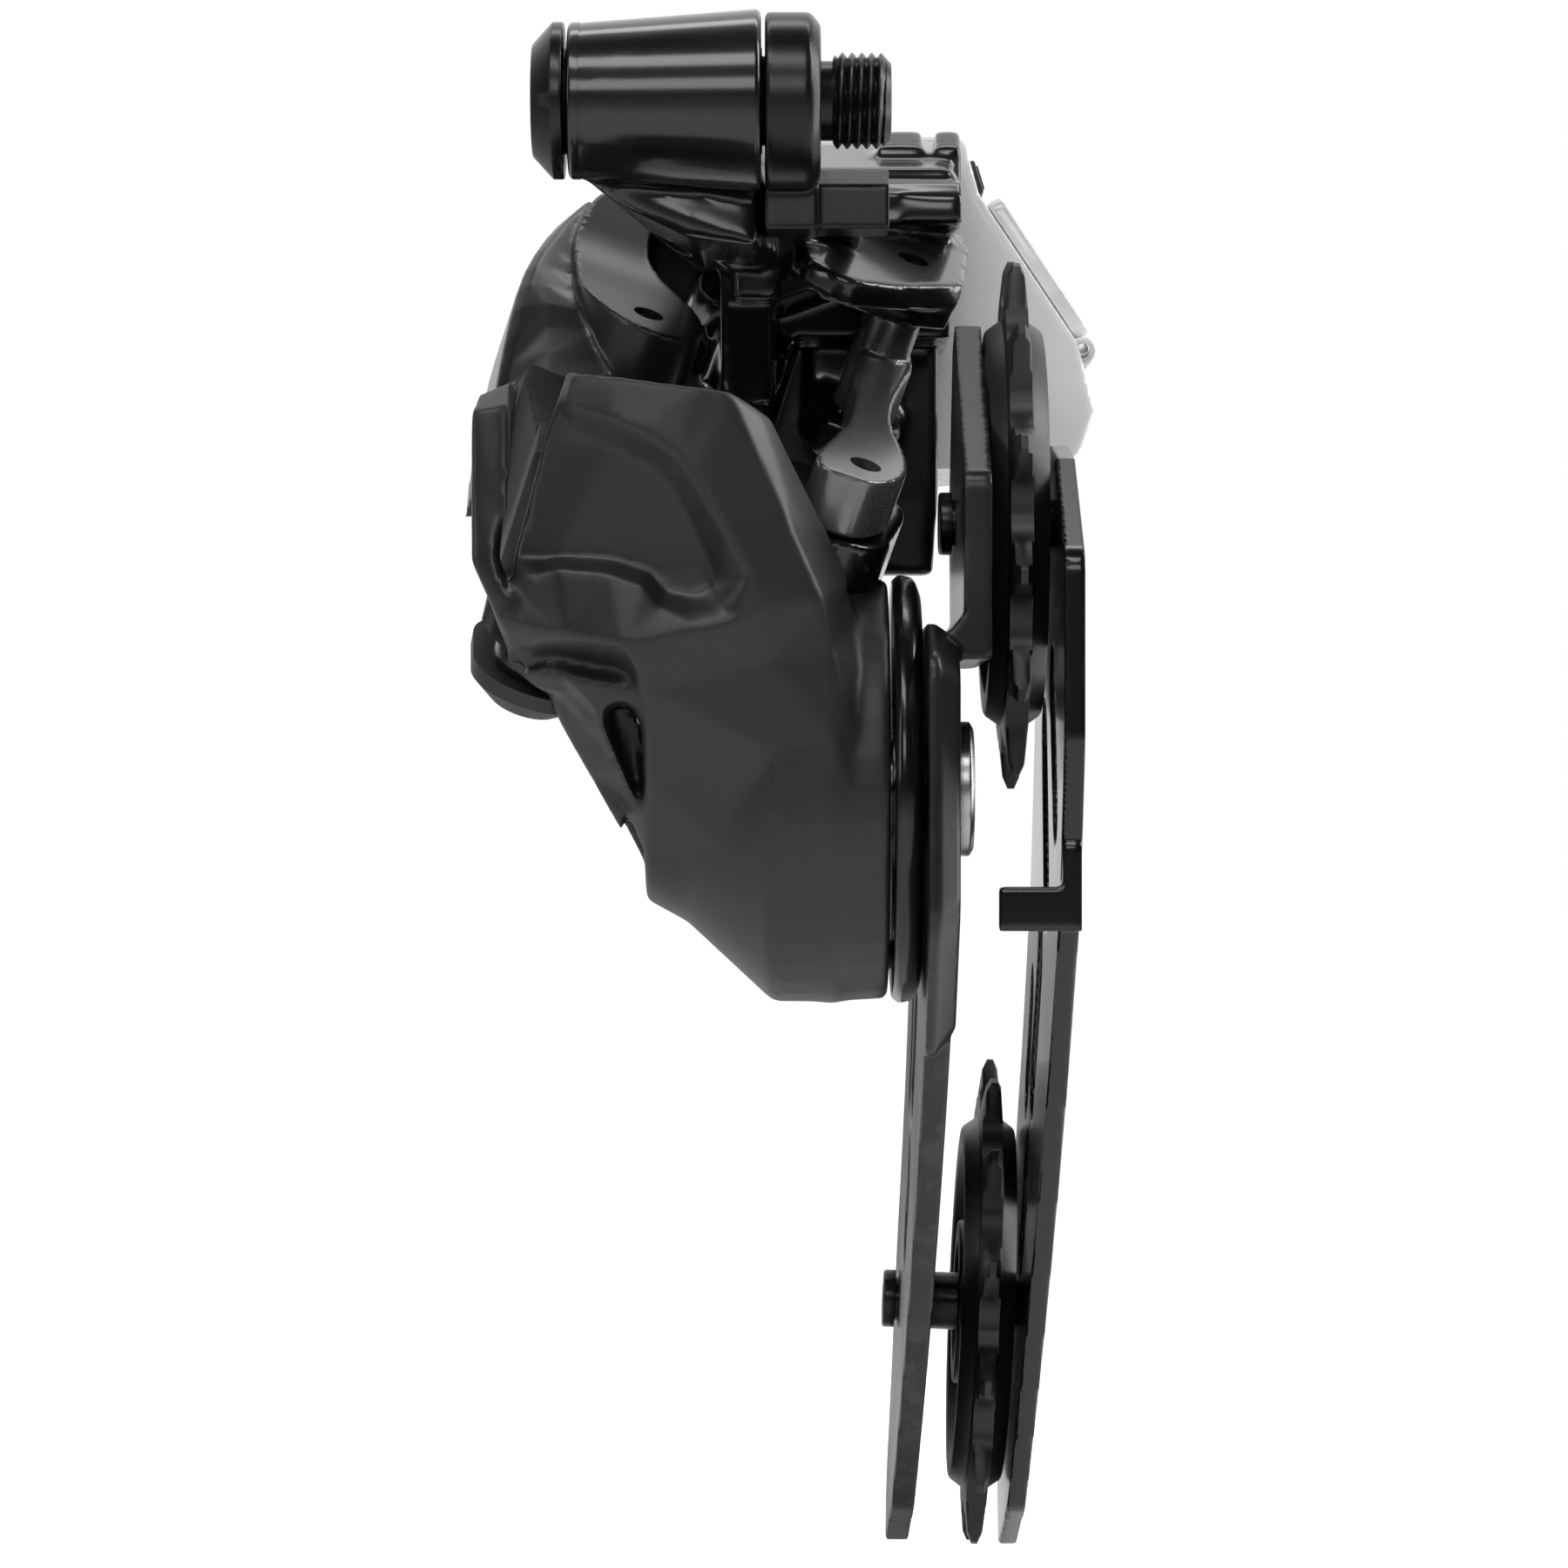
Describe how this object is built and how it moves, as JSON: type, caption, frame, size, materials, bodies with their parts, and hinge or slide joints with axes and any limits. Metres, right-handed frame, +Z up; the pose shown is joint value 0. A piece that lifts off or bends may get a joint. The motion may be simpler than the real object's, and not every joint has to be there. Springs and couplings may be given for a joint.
{
  "type": "bicycle rear derailleur",
  "caption": "Wireless electric long-cage rear derailleur: slant parallelogram, sprung pulley cage, toothed guide and tension pulleys, battery housing.",
  "frame": {"origin": "on the hanger bolt's axis, at the plane where the stop plate meets the bicycle's hanger", "axes": "+X inboard towards the wheel along the hanger bolt, +Y rearward, +Z up with the cage's rear stop at rest"},
  "size_m": [0.0678, 0.1165, 0.1672],
  "materials": {
    "black_steel": "satin",
    "pin_steel": "polished",
    "flake_black": "gloss",
    "gloss_black": "gloss",
    "matte_cover": "matte",
    "cage_grey": "satin",
    "polymer": "satin",
    "black_plastic": "satin",
    "seal_rubber": "matte",
    "battery_shell": "matte",
    "lens": "gloss"
  },
  "bodies": {
    "hanger_mount": {"b_bolt": "black_steel", "stop_plate": "black_steel"},
    "bracket": {"bracket": "flake_black", "b_bush_outer": "polymer", "b_bush_inner": "polymer", "upper_pin_outer": "pin_steel", "upper_pin_inner": "pin_steel", "stop_adjuster": "black_steel", "battery_housing": "cage_grey", "door_seal": "seal_rubber", "battery": "battery_shell", "door_hinge_pin": "pin_steel", "led_lens": "lens", "motor_unit": "black_plastic"},
    "outer_link_body": {"outer_link": "flake_black"},
    "inner_link_body": {"inner_link": "gloss_black"},
    "knuckle": {"p_knuckle": "flake_black", "p_cover": "matte_cover", "lower_pin_outer": "pin_steel", "lower_pin_inner": "pin_steel", "skid_bumper": "seal_rubber", "p_bush": "polymer", "clutch_band": "pin_steel", "cage_spring": "pin_steel"},
    "cage": {"cage_outer_plate": "cage_grey", "cage_inner_plate": "gloss_black", "cage_flange": "gloss_black", "p_axle": "black_steel", "clutch_drum": "pin_steel", "cage_stop_pin": "black_steel", "guide_sleeve": "pin_steel", "guide_bolt": "black_steel", "tension_sleeve": "pin_steel", "tension_bolt": "black_steel"},
    "guide_wheel": {"guide_pulley": "polymer", "guide_bearing": "pin_steel"},
    "tension_wheel": {"tension_pulley": "polymer", "tension_bearing": "pin_steel"},
    "door": {"battery_door": "black_plastic"},
    "latch": {"door_latch": "polymer"},
    "button": {"function_button": "seal_rubber"}
  },
  "joints": [
    {"name": "b_pivot", "type": "hinge", "parent": "hanger_mount", "child": "bracket", "pos_m": [0, 0, 0], "axis": [1, 0, 0], "range_deg": [0, 30], "stiffness_Nm_per_rad": 0.2, "springref_deg": -28.65},
    {"name": "outer_link_pivot", "type": "hinge", "parent": "bracket", "child": "outer_link_body", "pos_m": [-0.02218, 0.02294, -0.03131], "axis": [0.314, -0.38, 0.87], "range_deg": [0, 40]},
    {"name": "inner_link_pivot", "type": "hinge", "parent": "bracket", "child": "inner_link_body", "pos_m": [0.00609, 0.02688, -0.02485], "axis": [0.314, -0.38, 0.87], "range_deg": [0, 40]},
    {"name": "knuckle_pivot", "type": "hinge", "parent": "outer_link_body", "child": "knuckle", "pos_m": [-0.02447, -0.01304, -0.0462], "axis": [0.314, -0.38, 0.87], "range_deg": [-40, 0]},
    {"name": "cage_pivot", "type": "hinge", "parent": "knuckle", "child": "cage", "pos_m": [0, 0, -0.0705], "axis": [1, 0, 0], "range_deg": [-95, 0], "stiffness_Nm_per_rad": 0.5, "springref_deg": 45.84},
    {"name": "guide_spin", "type": "hinge", "parent": "cage", "child": "guide_wheel", "pos_m": [0.02025, 0.0135, -0.0426], "axis": [1, 0, 0], "continuous": true},
    {"name": "tension_spin", "type": "hinge", "parent": "cage", "child": "tension_wheel", "pos_m": [0.01895, 0.062, -0.1298], "axis": [0.9991, 0, -0.0434], "continuous": true},
    {"name": "door_hinge", "type": "hinge", "parent": "bracket", "child": "door", "pos_m": [0.0302, 0.068, -0.0206], "axis": [0, 1, 0], "range_deg": [0, 100]},
    {"name": "latch_slide", "type": "slide", "parent": "bracket", "child": "latch", "axis": [0, 1, 0], "range_m": [0, 0.002]},
    {"name": "button_press", "type": "slide", "parent": "bracket", "child": "button", "axis": [0, -1, 0], "range_m": [0, 0.0006], "stiffness_N_per_m": 1500}
  ],
  "couplings": [
    {"joint": "inner_link_pivot", "follows": "outer_link_pivot", "ratio": 1},
    {"joint": "knuckle_pivot", "follows": "outer_link_pivot", "ratio": -1}
  ]
}
